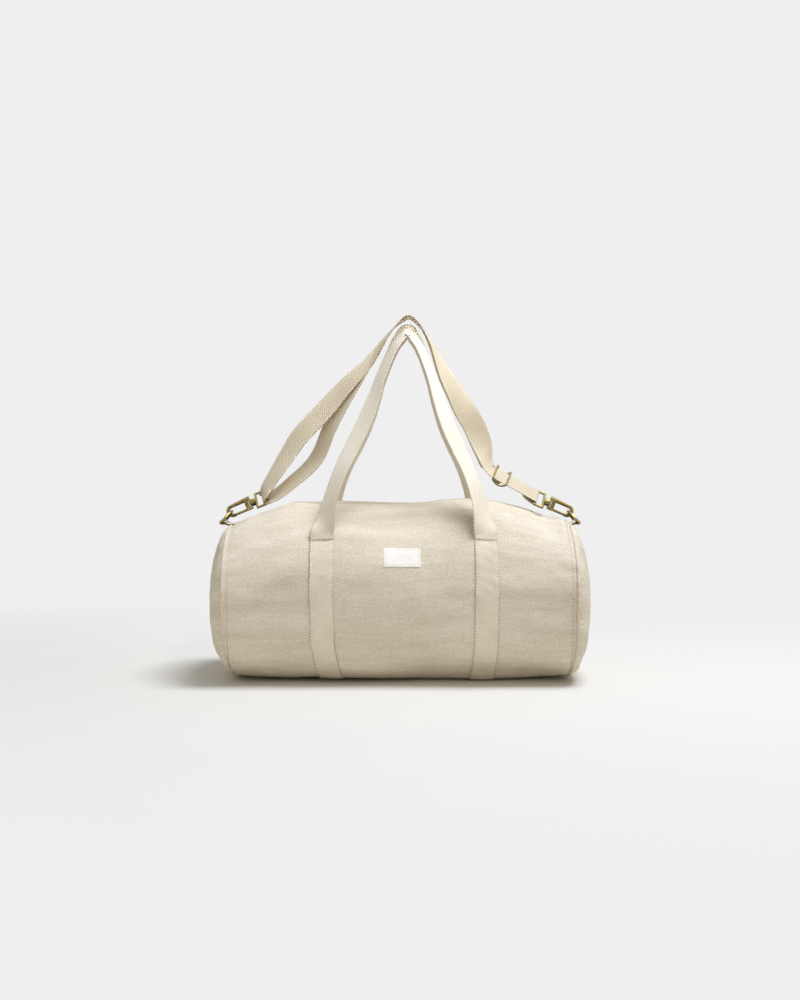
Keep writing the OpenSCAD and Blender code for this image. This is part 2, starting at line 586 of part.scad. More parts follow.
// X along the strap, Y across it and Z to its under side
module adjuster_frame() multmatrix([for (i = [0 : 2])
    [run_way[i], run_width[i], -run_out[i], adjuster_c[i]]]) children();
module strap_adjuster() color(brass_colour) adjuster_frame() {
    for (y = [-rail_y, rail_y]) translate([0, y, middle_bar_depth - rail_r]) rotate([90, 0, 0])
        rotate([0, 0, 90 - rail_half_turn]) rotate_extrude(angle = 2 * rail_half_turn)
        translate([rail_r, 0]) circle(d = adjuster_wire_d);
    for (x = [-adjuster_l / 2, adjuster_l / 2]) {
        translate([x, -rail_y, -end_bar_height]) rotate([-90, 0, 0])
            cylinder(d = adjuster_wire_d, h = 2 * rail_y);
        for (y = [-rail_y, rail_y]) translate([x, y, -end_bar_height]) sphere(d = adjuster_wire_d);
    }
    translate([0, -rail_y, middle_bar_depth]) rotate([-90, 0, 0])
        cylinder(d = adjuster_wire_d, h = 2 * rail_y);
}
loop_l = adjuster_l / 2 - layer_gap;
strap_loop_run = concat(
    [for (f = [1, 0.5, 0]) [at_adjuster(-f * loop_l, 0, -loop_depth), run_width]],
    [for (a = fold_angles)
        [at_adjuster(loop_r * sin(a), 0, loop_r * cos(a) - middle_bar_depth), run_width]],
    [for (f = [0, 0.4, 0.7, 1]) [at_adjuster(-f * loop_l, 0,
        -loop_depth - 2 * loop_r + (2 * loop_r - layer_step) * min(1, f / 0.7)), run_width]]);
module strap_loop_end() color(webbing_colour) ribbon(strap_loop_run, web_w, web_t);

// Draw the chosen piece, or all of them
body_panel();
left_end_panel();
right_end_panel();
left_seam_binding();
right_seam_binding();
front_zip_tape();
back_zip_tape();
front_zip_teeth();
back_zip_teeth();
zip_end_stops();
zip_slider();
zip_pull();
label();
left_sewn_webbing();
right_sewn_webbing();
front_handle();
back_handle();
left_ring_tab();
right_ring_tab();
left_d_ring();
right_d_ring();
left_hook();
right_hook();
left_gate();
right_gate();
left_gate_pin();
right_gate_pin();
left_gate_spring();
right_gate_spring();
left_eye();
right_eye();
strap_webbing();
strap_loop_end();
strap_adjuster();
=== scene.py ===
import math
import bpy
import numpy as np
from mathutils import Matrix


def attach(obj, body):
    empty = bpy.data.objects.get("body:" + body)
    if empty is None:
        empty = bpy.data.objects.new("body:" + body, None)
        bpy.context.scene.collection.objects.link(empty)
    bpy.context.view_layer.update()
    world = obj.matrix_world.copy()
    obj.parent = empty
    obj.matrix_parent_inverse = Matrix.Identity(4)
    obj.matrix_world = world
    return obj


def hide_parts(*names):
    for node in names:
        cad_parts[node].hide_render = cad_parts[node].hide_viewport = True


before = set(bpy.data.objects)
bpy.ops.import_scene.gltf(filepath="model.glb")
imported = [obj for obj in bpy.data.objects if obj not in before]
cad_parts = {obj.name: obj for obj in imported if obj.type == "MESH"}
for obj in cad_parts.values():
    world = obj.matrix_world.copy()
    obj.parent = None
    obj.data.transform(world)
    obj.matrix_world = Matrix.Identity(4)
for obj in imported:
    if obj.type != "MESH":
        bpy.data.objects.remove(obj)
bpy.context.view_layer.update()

print("frame loaded,", len(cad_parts), "nodes")

# Camera: straight on, a little above the middle of the barrel

camera = {"lens": 49.0, "distance": 1.83, "elevation": 2.0, "target": (0.0, 0.0, 0.234),
          "clipEnd": 50.0}


def makeCamera():
    # The camera looks at the target from the front, raised by the elevation
    lift = math.radians(camera["elevation"])
    data = bpy.data.cameras.new("camera")
    data.lens = camera["lens"]
    data.clip_end = camera["clipEnd"]
    eye = bpy.data.objects.new("camera", data)
    x, y, z = camera["target"]
    away = camera["distance"]
    eye.location = (x, y - away * math.cos(lift), z + away * math.sin(lift))
    eye.rotation_euler = (math.radians(90.0) - lift, 0.0, 0.0)
    bpy.context.scene.collection.objects.link(eye)
    bpy.context.scene.camera = eye


makeCamera()

# Vectors, curves and smooth noise, all on whole arrays


def unit(v):
    # Vectors of length one
    return v / np.maximum(np.linalg.norm(v, axis=-1, keepdims=True), 1e-12)


def squareTo(v, ways):
    # The part of each vector that stands square to its way, at length one
    return unit(v - (v * ways).sum(-1, keepdims=True) * ways)


def runOf(path):
    # Length walked along a path up to each of its points
    return np.concatenate([[0], np.cumsum(np.linalg.norm(np.diff(path, axis=0), axis=1))])


def splineThrough(points, count):
    # Catmull-Rom curve through the points, sampled evenly along its length
    p = np.asarray(points, float)
    ends = np.vstack([2 * p[0] - p[1], p, 2 * p[-1] - p[-2]])
    t = np.linspace(0, len(p) - 1, 40 * len(p))
    i = np.minimum(t.astype(int), len(p) - 2)
    f = (t - i)[:, None]
    a, b, c, d = ends[i], ends[i + 1], ends[i + 2], ends[i + 3]
    fine = 0.5 * (2 * b + (c - a) * f + (2 * a - 5 * b + 4 * c - d) * f ** 2
                  + (3 * b - a - 3 * c + d) * f ** 3)
    run = runOf(fine[:, :3])
    even = np.linspace(0, run[-1], count)
    return np.stack([np.interp(even, run, fine[:, k]) for k in range(p.shape[1])], axis=1)


def softLine(xs, points, blur=0.0):
    # Height of a line through given points, rounded off over the blur length
    px, pz = np.asarray(points, float).T
    total = np.zeros_like(xs)
    taps = np.linspace(-1, 1, 9) * blur
    for tap in taps:
        total = total + np.interp(xs + tap, px, pz)
    return total / len(taps)


def waves(u, v, seed, count, least, most):
    # Sum of sine waves in random directions, with wave lengths from least to most
    rng = np.random.default_rng(seed)
    total = np.zeros(np.broadcast(u, v).shape)
    for _ in range(count):
        turn, phase = rng.uniform(0, 2 * math.pi, 2)
        size = 2 * math.pi / rng.uniform(least, most)
        total = total + np.sin(size * (u * math.cos(turn) + v * math.sin(turn)) + phase)
    return total / math.sqrt(count)


def bump(t, middle, reach):
    # Bell curve of height one
    return np.exp(-((t - middle) / reach) ** 2)


# Meshes from grids of points


def addPiece(name, points, faces, uv=None):
    # Points, faces and, where given, a map point for each point
    mesh = bpy.data.meshes.new(name)
    mesh.from_pydata(points.reshape(-1, 3).tolist(), [], faces)
    if uv is not None:
        layer = mesh.uv_layers.new(name="cloth")
        corners = np.zeros(len(mesh.loops), np.int32)
        mesh.loops.foreach_get("vertex_index", corners)
        layer.data.foreach_set("uv", uv.reshape(-1, 2)[corners].ravel())
    mesh.polygons.foreach_set("use_smooth", np.full(len(mesh.polygons), True))
    mesh.update()
    piece = bpy.data.objects.new(name, mesh)
    bpy.context.scene.collection.objects.link(piece)
    return piece


def gridQuads(rows, columns, start=0, wrap=False, flip=False):
    # Quads between neighbouring rows and columns of a grid
    last = columns if wrap else columns - 1
    i, j = np.meshgrid(np.arange(rows - 1), np.arange(last), indexing="ij")
    k = (j + 1) % columns
    near, far = i * columns + start, (i + 1) * columns + start
    quads = np.stack([near + j, far + j, far + k, near + k], -1).reshape(-1, 4)
    return (quads[:, ::-1] if flip else quads).tolist()


def clothPatch(name, outer, inner, uv):
    # A patch of cloth with a thickness: outer face, inner face and four edges
    rows, columns = outer.shape[:2]
    count = rows * columns
    number = np.arange(count).reshape(rows, columns)
    rim = np.concatenate([number[0, :], number[1:, -1], number[-1, -2::-1], number[-2:0:-1, 0]])
    after = np.roll(rim, -1)
    edge = np.stack([rim, after, after + count, rim + count], -1).tolist()
    faces = gridQuads(rows, columns) + gridQuads(rows, columns, count, flip=True) + edge
    return addPiece(name, np.concatenate([outer.reshape(-1, 3), inner.reshape(-1, 3)]), faces,
                    np.concatenate([uv.reshape(-1, 2)] * 2))


def sweptPiece(name, rings, uv, closed=False):
    # A closed profile carried along a path, with flat ends unless the path closes
    rows, columns = rings.shape[:2]
    faces = gridQuads(rows, columns, wrap=True)
    if closed:
        first = np.arange(columns)
        last = first + (rows - 1) * columns
        faces += np.stack([last, first, np.roll(first, -1), np.roll(last, -1)], -1).tolist()
    else:
        faces += [list(range(columns)), list(range(rows * columns - 1, (rows - 1) * columns - 1, -1))]
    return addPiece(name, rings, faces, uv)


# Materials. A wrapped socket lets shader maths be written as formulas

class Sock:
    tree = None

    def __init__(self, out):
        self.out = out

    @staticmethod
    def feed(made, inputs):
        # Links wrapped sockets to a node's inputs, and sets plain values on them
        for key, value in inputs.items():
            if isinstance(value, Sock):
                Sock.tree.links.new(value.out, made.inputs[key])
            else:
                made.inputs[key].default_value = value

    @staticmethod
    def node(kind, settings=None, inputs=None, out=0):
        # A new node of any type, its settings first and then its inputs
        made = Sock.tree.nodes.new(kind)
        for key, value in (settings or {}).items():
            setattr(made, key, value)
        Sock.feed(made, inputs or {})
        return Sock(made.outputs[out])

    def beside(self, out):
        # Another output of the same node
        return Sock(self.out.node.outputs[out])

    def math(self, operation, other=0.0):
        # One Math node
        return Sock.node("ShaderNodeMath", {"operation": operation}, {0: self, 1: other})

    def __add__(self, other):
        return self.math("ADD", other)

    def __mul__(self, other):
        return self.math("MULTIPLY", other)

    def __sub__(self, other):
        return self.math("SUBTRACT", other)

    def __rsub__(self, other):
        return self.math("MULTIPLY", -1.0).math("ADD", other)

    __radd__ = __add__
    __rmul__ = __mul__

    def sine(self):
        return self.math("SINE")

    def clip(self, low, high):
        # Share of the way from low to high, between 0 and 1
        return Sock.node("ShaderNodeMapRange", {}, {0: self, 1: low, 2: high, 3: 0.0, 4: 1.0})


def linear(colour):
    # Shader colour of a colour given as 0 to 255 screen values
    c = np.asarray(colour, float) / 255
    return tuple(np.where(c <= 0.04045, c / 12.92, ((c + 0.055) / 1.055) ** 2.4)) + (1.0,)


def mixColour(share, a, b):
    # From colour a to colour b, each a socket or screen values. The Mix node has its
    # colours on inputs 6 and 7 and on output 2
    a, b = [c if isinstance(c, Sock) else linear(c) for c in (a, b)]
    return Sock.node("ShaderNodeMix", {"data_type": "RGBA"}, {0: share, 6: a, 7: b}, 2)


def noise(where, scale, detail=3.0, rough=0.5):
    # Noise between 0 and 1, finer with a larger scale
    inputs = {"Vector": where, "Scale": scale, "Detail": detail, "Roughness": rough}
    return Sock.node("ShaderNodeTexNoise", {}, inputs)


def stretched(where, x, y, z=1.0):
    # A place with each axis scaled, which stretches the pattern that reads it
    return Sock.node("ShaderNodeVectorMath", {"operation": "MULTIPLY"}, {0: where, 1: (x, y, z)})


def axes(where):
    # The three parts of a place or a direction
    x = Sock.node("ShaderNodeSeparateXYZ", {}, {0: where})
    return x, x.beside(1), x.beside(2)


def newMaterial(name, build):
    # build returns the sockets of the surface shader by name
    material = bpy.data.materials.new(name)
    material.use_nodes = True
    Sock.tree = material.node_tree
    shader = [n for n in Sock.tree.nodes if n.type == "BSDF_PRINCIPLED"][0]
    Sock.feed(shader, build())
    return material


def uvOf():
    # The piece's own map
    return Sock.node("ShaderNodeUVMap", {"uv_map": "cloth"})


def objectPlace():
    # Object coordinates, in metres
    return Sock.node("ShaderNodeTexCoord", out=3)


def ripples(u, pitch):
    # A sine wave of the given pitch, between -1 and 1
    return (u * (2 * math.pi / pitch)).sine()


def bumped(height, strength, distance):
    # Normal of a surface with this height pattern
    inputs = {"Height": height, "Strength": strength, "Distance": distance}
    return Sock.node("ShaderNodeBump", {}, inputs)


canvasLook = {"light": (248, 238, 218), "dark": (179, 163, 132), "slub": (143, 125, 95),
              "holesAndShade": (150, 130, 100), "twill": 0.0041, "crossing": 1.9, "relief": 0.6,
              "depth": 0.0004, "roughness": 0.95, "seam": 0.2187}


def canvasShader():
    # Slanting twill lines crossed by fine threads, with slubs and soft mottling
    place = uvOf()
    u, v, _ = axes(place)
    size = 2 * math.pi / canvasLook["twill"]
    wobble = noise(place, 60.0, 2.0) * 3.0
    twill = (u * size + v * size + wobble).sine() * 0.5 + 0.5
    steep = size * canvasLook["crossing"]
    cross = (u * steep - v * steep + wobble).sine() * 0.5 + 0.5
    slubs = noise(stretched(place, 40.0, 560.0), 1.0, 3.0).clip(0.58, 0.76)
    slubsUp = noise(stretched(place, 560.0, 40.0), 1.0, 3.0).clip(0.63, 0.8)
    drift = noise(stretched(place, 6.0, 34.0), 1.0, 5.0, 0.68).clip(0.3, 0.72)
    fine = noise(place, 330.0, 3.0, 0.7).clip(0.32, 0.68)
    share = twill * 0.17 + cross * 0.11 + fine * 0.34 + drift * 0.38
    tone = mixColour(share, canvasLook["dark"], canvasLook["light"])
    tone = mixColour((slubs + slubsUp) * 0.3, tone, canvasLook["slub"])
    # Darker line along the seam's stitch line: partly stitch holes, partly painted shade in the seam's
    # furrow
    fromSeam = axes(objectPlace())[0].math("ABSOLUTE") - canvasLook["seam"]
    seam = fromSeam.math("ABSOLUTE").clip(0.0014, 0.0002)
    tone = mixColour(seam * 0.45, tone, canvasLook["holesAndShade"])
    height = twill * 0.55 + cross * 0.35 + slubs * 0.5 + slubsUp * 0.5 + fine * 0.6 - seam * 0.8
    return {"Base Color": tone, "Roughness": canvasLook["roughness"],
            "Normal": bumped(height, canvasLook["relief"], canvasLook["depth"])}


canvas = newMaterial("canvas", canvasShader)

webbingLook = {"width": 0.03, "weave": 0.0042, "stitch": 0.0042, "rim": 0.0045, "depth": 0.0006,
               "holesAndShade": (136, 114, 80), "thread": (243, 236, 220), "roughness": 0.9}
bandLook = {"light": (252, 243, 222), "dark": (188, 171, 138), "relief": 0.65}
# The handles' tone, paler than the bands', is painted light on the top of the bag
handlePaintedShadingLook = {"light": (253, 247, 232), "dark": (206, 193, 164), "relief": 0.55, "length": 0.615}
strapLook = {"light": (243, 231, 204), "dark": (164, 146, 112), "relief": 0.28}


def webbingShader(look):
    # Basket weave of slanting cells, with a stitched line near each edge.
    # The map runs in metres along the webbing and from 0 to 1 across it
    place = uvOf()
    width = webbingLook["width"]
    u, v, _ = axes(place)
    middle = (v - 0.5).math("ABSOLUTE")
    weave = webbingLook["weave"]
    cells = ripples(u, weave) * ripples(v * width, weave) * 0.5 + 0.5
    level = stretched(place, 1.0, width)
    fine = noise(level, 900.0, 2.0).clip(0.3, 0.7)
    drift = noise(level, 14.0, 3.0).clip(0.3, 0.7)
    inLine = (middle - 0.43).math("ABSOLUTE").clip(0.03, 0.012)
    stitch = inLine * ripples(u, webbingLook["stitch"]).clip(-0.5, -0.1)
    rim = middle.clip(0.44, 0.49) * (ripples(u, webbingLook["rim"]) * 0.5 + 0.5)
    share = cells * 0.5 + fine * 0.25 + drift * 0.25
    tone = mixColour(share, look["dark"], look["light"])
    if "length" in look:
        # Towards its two ends the handle webbing is painted down to the bands' darker tone, as painted
        # shade near the feet
        sewn = mixColour(share, bandLook["dark"], bandLook["light"])
        fromEnd = u.math("MINIMUM", look["length"] - u)
        tone = mixColour(fromEnd.clip(0.02, 0.11), sewn, tone)
    # Darker along the stitch lines and in dashes at the edges: partly stitch holes, partly painted
    # shade in the stitch furrows and in the gaps at the edges
    tone = mixColour(inLine * 0.15 + rim * 0.5, tone, webbingLook["holesAndShade"])
    tone = mixColour(stitch * 0.6, tone, webbingLook["thread"])
    height = cells * 1.1 + fine * 0.3 + stitch * 0.9 - inLine * 0.5
    return {"Base Color": tone, "Roughness": webbingLook["roughness"],
            "Normal": bumped(height, look["relief"], webbingLook["depth"])}


webbing = newMaterial("webbing", lambda: webbingShader(bandLook))
handleWebbingPaintedShading = newMaterial("handleWebbingPaintedShading", lambda: webbingShader(handlePaintedShadingLook))
strapWebbing = newMaterial("strapWebbing", lambda: webbingShader(strapLook))

# Bag body: a sagging barrel of canvas, open along the top for the zip.
# Angles go from 0 at the back over 90 at the top and 180 at the front to 270 below

body = {"halfLength": 0.225, "halfDepth": 0.118, "halfHeight": 0.114, "lift": 0.0016,
        "endDrop": 0.030, "bulge": 0.0262, "domeShare": 0.39, "cloth": 0.0016, "hem": 0.0006,
        "gap": math.degrees(math.asin(18 / 236)), "toeLeft": 0.009, "toeRight": 0.004,
        "toeRise": 0.0038, "radius": 0.12, "squareness": 0.67, "flatness": 1.02}
folds = {"all": 1.0, "level": 0.0007, "broad": 0.0014, "small": 0.00018, "slanted": 0.0007,
         "crease": 0.0028, "pucker": 1.0, "gather": 0.00022, "seam": 0.0004, "dome": 0.0005,
         "domeBroad": 0.0009, "creasePlace": (-0.213, 190.0), "creaseSlope": 387,
         "feet": (-0.1, 0.11), "feetHeight": 0.616}
midZ = body["lift"] + body["halfHeight"]


def arcOf(turn):
    # Rough length round the barrel at an angle, for patterns of folds
    return np.radians(turn) * body["radius"]


def topDrop(x):
    # How far the top line falls towards the ends
    return body["endDrop"] * np.maximum(0, (np.abs(x) / body["halfLength"] - 0.6) / 0.4) ** 1.4


lipLine = [[-0.225, 0.001], [-0.2, 0.0022], [-0.178, 0.0006], [-0.158, 0.004], [-0.135, 0.0045],
           [-0.11, 0.003], [-0.05, 0.002], [0.0, 0.002], [0.035, 0.003], [0.06, 0.0065],
           [0.085, 0.008], [0.112, 0.0078], [0.128, 0.005], [0.146, 0.002], [0.165, 0.0],
           [0.185, -0.0012], [0.197, -0.0025], [0.208, 0.006], [0.225, 0.012]]


def softness(x, turn):
    # Height of folds over the smooth barrel, in metres: lips beside the zip, long level folds,
    # slanted creases at the shoulders and small puckers by the seams. They fade out at the zip
    low = np.sin(np.radians(turn))
    arc = arcOf(turn)
    side = np.abs(x) / body["halfLength"]
    fromZip = np.abs((turn + 90) % 360 - 180) - body["gap"]
    fade = np.clip(fromZip / 7, 0, 1)
    fade = fade * fade * (3 - 2 * fade)
    lips = softLine(x, lipLine, 0.008) * np.exp(-(np.maximum(0, fromZip - 8) / 26) ** 2)
    below = 0.3 + 0.7 * np.clip(0.5 - low, 0, 1)
    level = waves(x * 0.3, arc, 11, 9, 0.04, 0.09) * folds["level"] * below
    broad = waves(x, arc * 1.3, 5, 7, 0.11, 0.24) * folds["broad"]
    small = waves(x, arc * 1.6, 8, 14, 0.02, 0.05) * folds["small"]
    gather = bump(side, 1.0, 0.07) * (waves(x * 0.2, arc, 23, 10, 0.010, 0.024) * folds["gather"]
                                    + waves(x * 0.3, arc, 29, 6, 0.03, 0.06) * folds["seam"])
    ridges = np.sin((x * 0.55 + arc * np.sign(x) * 0.8) * 105 + 1.2 * waves(x, arc, 31, 4, 0.06, 0.12))
    slanted = bump(side, 0.83, 0.13) * np.clip(low, 0, 1) ** 1.5 * ridges * folds["slanted"]
    # One soft crease rises from the left seam towards the left band
    seamX, seamTurn = folds["creasePlace"]
    line = seamTurn - folds["creaseSlope"] * (x - seamX)
    crease = folds["crease"] * bump(turn, line, 8.0) * bump(x, -0.17, 0.045)
    total = lips + level + broad + small + slanted + crease
    # Flat where the handles' feet are sewn on, front and back
    feet = np.maximum(bump(x, folds["feet"][0], 0.03), bump(x, folds["feet"][1], 0.03))
    sewn = bump(low, folds["feetHeight"], 0.13) * feet
    flat = (1 - 0.5 * bump(side, 1.0, 0.04)) * (1 - 0.85 * sewn)
    return fade * (folds["all"] * total * flat + folds["pucker"] * gather)


def canvasPoint(x, turn, out=0.0, soft=True):
    # Above: y = (halfDepth + out) * cos turn, z = middle + (halfHeight + out - drop) * sin turn.
    # Below: cos and sin are raised to the squareness, and z stops at the underside, which is flat:
    # middle - (halfHeight + out) * min(1, flatness * (-sin turn)^squareness).
    # Near the ends x moves in by toe * clip((-sin turn - 0.3) / 0.6)^1.5. out holds the folds too
    c, s = np.cos(np.radians(turn)), np.sin(np.radians(turn))
    grow = out + (softness(x, turn) if soft else 0.0)
    lower = s < 0
    power = np.where(lower, body["squareness"], 1.0)
    y = (body["halfDepth"] + grow) * np.sign(c) * np.abs(c) ** power
    held = np.where(lower, np.minimum(grow, out + 0.002), grow)
    depth = body["flatness"] * np.abs(np.minimum(s, 0)) ** body["squareness"]
    under = (body["halfHeight"] + held) * np.minimum(1.0, depth)
    z = midZ + np.where(lower, -under, (body["halfHeight"] + grow - topDrop(x)) * s)
    near = np.clip((np.abs(x) - 0.13) / 0.095, 0, 1) ** 1.5
    toe = np.where(x < 0, body["toeLeft"], -body["toeRight"])
    x = x + toe * near * np.clip((-s - 0.3) / 0.6, 0, 1) ** 1.5
    raised = body["toeRise"] * near * np.clip(-s, 0, 1)
    z = np.maximum(z + raised, out + body["lift"] if np.isscalar(out) else body["lift"])
    return np.stack(np.broadcast_arrays(x, y, z), axis=-1)


def aroundLength(turn):
    # True length round the smooth barrel at each angle, in metres
    fine = np.linspace(0, 540, 1081)
    p = canvasPoint(np.zeros_like(fine), fine, soft=False)
    return np.interp(turn, fine, runOf(p))


def wrapAngles(count):
    # From the zip's front edge down round the barrel to its back edge
    return np.linspace(90 + body["gap"], 450 - body["gap"], count)


def makeBody():
    # Outer face canvasPoint(x, turn, hem) and inner face canvasPoint(x, turn, -cloth), closed
    # along its edges. The grid is finer near the seams, and the cut edge by the zip is turned in
    ends = np.sin(np.linspace(-math.pi / 2, math.pi / 2, 231))
    x = body["halfLength"] * (0.45 * ends + 0.55 * np.linspace(-1, 1, 231))
    xx, tt = np.meshgrid(x, wrapAngles(205), indexing="ij")
    uv = np.stack([xx, aroundLength(tt)], -1)
    fromEdge = (np.abs(tt - 270) - (180 - body["gap"])) / 1.2
    outer = canvasPoint(xx, tt, body["hem"] * np.exp(-fromEdge ** 2))
    piece = clothPatch("canvasBody", outer, canvasPoint(xx, tt, -body["cloth"]), uv)
    piece.data.materials.append(canvas)
    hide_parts("body_panel")
    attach(piece, "bag")


def domePoint(side, lean, turn, out=0.0):
    # pole + (rim - pole) cos lean + (bulge + out) sin lean outwards, for the rim point at turn
    rim = canvasPoint(np.full_like(turn, side * body["halfLength"]), turn, out)
    height = body["lift"] + 2 * body["halfHeight"] * body["domeShare"]
    pole = np.array([side * body["halfLength"], 0.0, height])
    a = np.radians(lean)
    arc = arcOf(turn)
    ripple = waves(arc, a * 0.1, 41 + int(side), 12, 0.014, 0.05) * folds["dome"]
    ripple = ripple * np.cos(a) ** 2 * np.sin(2 * a)
    broad = waves(arc * np.cos(a), a * 0.12, 47, 8, 0.07, 0.16) * folds["domeBroad"]
    spread = (rim - pole) * np.cos(a)[..., None]
    spread[..., 0] += side * ((body["bulge"] + out) * np.sin(a) + ripple + broad * np.sin(2 * a))
    return pole + spread


def makeEnd(side, name, node):
    # Outer dome domePoint(lean, turn) and inner dome domePoint(lean, turn, -cloth), joined
    # round the rim and closed at the pole
    lean = np.minimum(90 * np.linspace(0, 1, 60) ** 0.85, 89.6)
    ll, tt = np.meshgrid(lean, np.linspace(0, 360, 241)[:-1], indexing="ij")
    outer = domePoint(side, ll, tt)
    inner = domePoint(side, ll, tt, -body["cloth"])
    rows, columns = ll.shape
    count = rows * columns
    flip = side > 0
    faces = gridQuads(rows, columns, wrap=True, flip=flip)
    faces += gridQuads(rows, columns, count, wrap=True, flip=not flip)
    j = np.arange(columns)
    k = np.roll(j, -1)
    edge = np.stack([j, k, k + count, j + count], -1)
    faces += (edge if flip else edge[:, ::-1]).tolist()
    cap = count - columns + j
    caps = np.stack([cap[::-1], cap + count] if flip else [cap, cap[::-1] + count])
    uv = np.concatenate([outer[..., 1:].reshape(-1, 2)] * 2)
    points = np.concatenate([outer.reshape(-1, 3), inner.reshape(-1, 3)])
    piece = addPiece(name, points, faces + caps.tolist(), uv)
    piece.data.materials.append(canvas)
    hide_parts(node)
    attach(piece, "bag")


makeBody()
makeEnd(-1, "canvasEndLeft", "left_end_panel")
makeEnd(1, "canvasEndRight", "right_end_panel")
print("canvas body done")

# Welts along the end seams: a round fold of canvas with stitches beside it

welt = {"radius": 0.0019, "out": 0.0004, "uneven": 0.12, "stitch": 0.0036, "pitch": 0.0052,
        "stitchIn": 0.0065}


def makeWelt(side, name):
    # A tube round the seam: middle + radius * swell * (cos a outward + sin a sideways)
    turn = np.linspace(0, 360, 361)[:-1]
    seam = np.full_like(turn, side * body["halfLength"])
    middle = canvasPoint(seam + side * welt["out"], turn, welt["out"])
    outward = unit(canvasPoint(seam, turn, 0.01) - middle)
    around = np.linspace(0, 2 * math.pi, 13)[:-1]
    swell = 1 + welt["uneven"] * waves(arcOf(turn), np.zeros_like(turn), 61, 8, 0.01, 0.03)
    rings = (middle[:, None] + welt["radius"] * swell[:, None, None] * (
        np.cos(around)[None, :, None] * outward[:, None]
        + np.sin(around)[None, :, None] * np.array([side, 0, 0])))
    uv = np.stack(np.broadcast_arrays(aroundLength(turn)[:, None], around[None] * welt["radius"]), -1)
    piece = sweptPiece(name, rings, uv, closed=True)
    piece.data.materials.append(canvas)
    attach(piece, "bag")


threadLook = {"light": (244, 238, 224), "dark": (222, 211, 188), "roughness": 0.7,
              "radius": 0.00045, "flat": 0.7}


def threadShader():
    # Cotton thread with a faint twist
    twist = noise(objectPlace(), 2400.0, 1.0).clip(0.3, 0.7)
    tone = mixColour(twist, threadLook["dark"], threadLook["light"])
    return {"Base Color": tone, "Roughness": threadLook["roughness"]}


thread = newMaterial("thread", threadShader)


def makeStitches(name, middles, ways, outs, rides, length):
    # Each stitch is a flattened spindle: middle + (length / 2) cos a along its way, and
    # radius sin a round it
    lean = np.linspace(0, math.pi, 6)
    around = np.linspace(0, 2 * math.pi, 7)[:-1]
    across = np.cross(ways, outs)
    along = (np.cos(lean) * length / 2)[None, :, None, None] * ways[:, None, None]
    ring = (np.cos(around)[None, None, :, None] * outs[:, None, None] * threadLook["flat"]
            + np.sin(around)[None, None, :, None] * across[:, None, None])
    width = np.maximum(np.sin(lean), 0.12)[None, :, None, None] * threadLook["radius"]
    points = middles[:, None, None] + along + width * ring
    rows, columns = len(lean), len(around)
    start = (np.arange(len(middles)) * rows * columns)[:, None]
    quads = (np.array(gridQuads(rows, columns, wrap=True))[None] + start[:, None]).reshape(-1, 4)
    first = np.arange(columns)
    last = (rows - 1) * columns + first[::-1]
    caps = np.stack([start + first, start + last], 1).reshape(-1, columns)
    piece = addPiece(name, points, quads.tolist() + caps.tolist())
    piece.data.materials.append(thread)
    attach(piece, rides)


def seamStitches(side, name):
    # Stitches at even steps of length, beside the seam
    fine = wrapAngles(900)
    run = aroundLength(fine) - aroundLength(fine[0])
    count = int(run[-1] / welt["pitch"])
    turn = np.interp(np.linspace(0.01, 0.99, count), run / run[-1], fine)
    x = np.full_like(turn, side * (body["halfLength"] - welt["stitchIn"]))
    middle = canvasPoint(x, turn, 0.0001)
    ways = unit(canvasPoint(x, turn + 0.8, 0.0001) - middle)
    outs = squareTo(unit(canvasPoint(x, turn, 0.006) - middle), ways)
    makeStitches(name, middle, ways, outs, "bag", welt["stitch"])


for side, word in ((-1, "Left"), (1, "Right")):
    makeWelt(side, "seamWelt" + word)
    seamStitches(side, "seamStitches" + word)

# Binding tape inside each seam, and the zip tapes

tapeLook = {"light": (206, 192, 164), "dark": (176, 160, 130), "weave": 0.0011, "roughness": 0.85}
binding = {"from": 0.216, "to": 0.225, "depth": 0.00162, "thick": 0.0008}
zipTape = {"halfLength": 0.2235, "inner": 0.0016, "outer": 0.0145, "thick": 0.0007, "top": 0.2268,
           "flatTo": 0.01, "slope": 0.05, "stepFrom": 0.212, "stepLength": 0.0035, "step": 0.0014}


def tapeShader():
    # Fine plain weave
    u, v, _ = axes(uvOf())
    rows = ripples(u, tapeLook["weave"]) * ripples(v, tapeLook["weave"]) * 0.5 + 0.5
    tone = mixColour(rows, tapeLook["dark"], tapeLook["light"])
    return {"Base Color": tone, "Roughness": tapeLook["roughness"], "Normal": bumped(rows, 0.4, 0.0001)}


tape = newMaterial("tape", tapeShader)


def makeBinding(side, name, node):
    # A strip between two depths under the canvas, canvasPoint(x, turn, -depth) and one thickness below
    x = side * np.linspace(binding["from"], binding["to"], 5)
    xx, tt = np.meshgrid(x if side > 0 else x[::-1], wrapAngles(205), indexing="ij")
    uv = np.stack([xx, aroundLength(tt)], -1)
    outer = canvasPoint(xx, tt, -binding["depth"])
    inner = canvasPoint(xx, tt, -binding["depth"] - binding["thick"])
    piece = clothPatch(name, outer, inner, uv)
    piece.data.materials.append(tape)
    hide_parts(node)
    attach(piece, "bag")


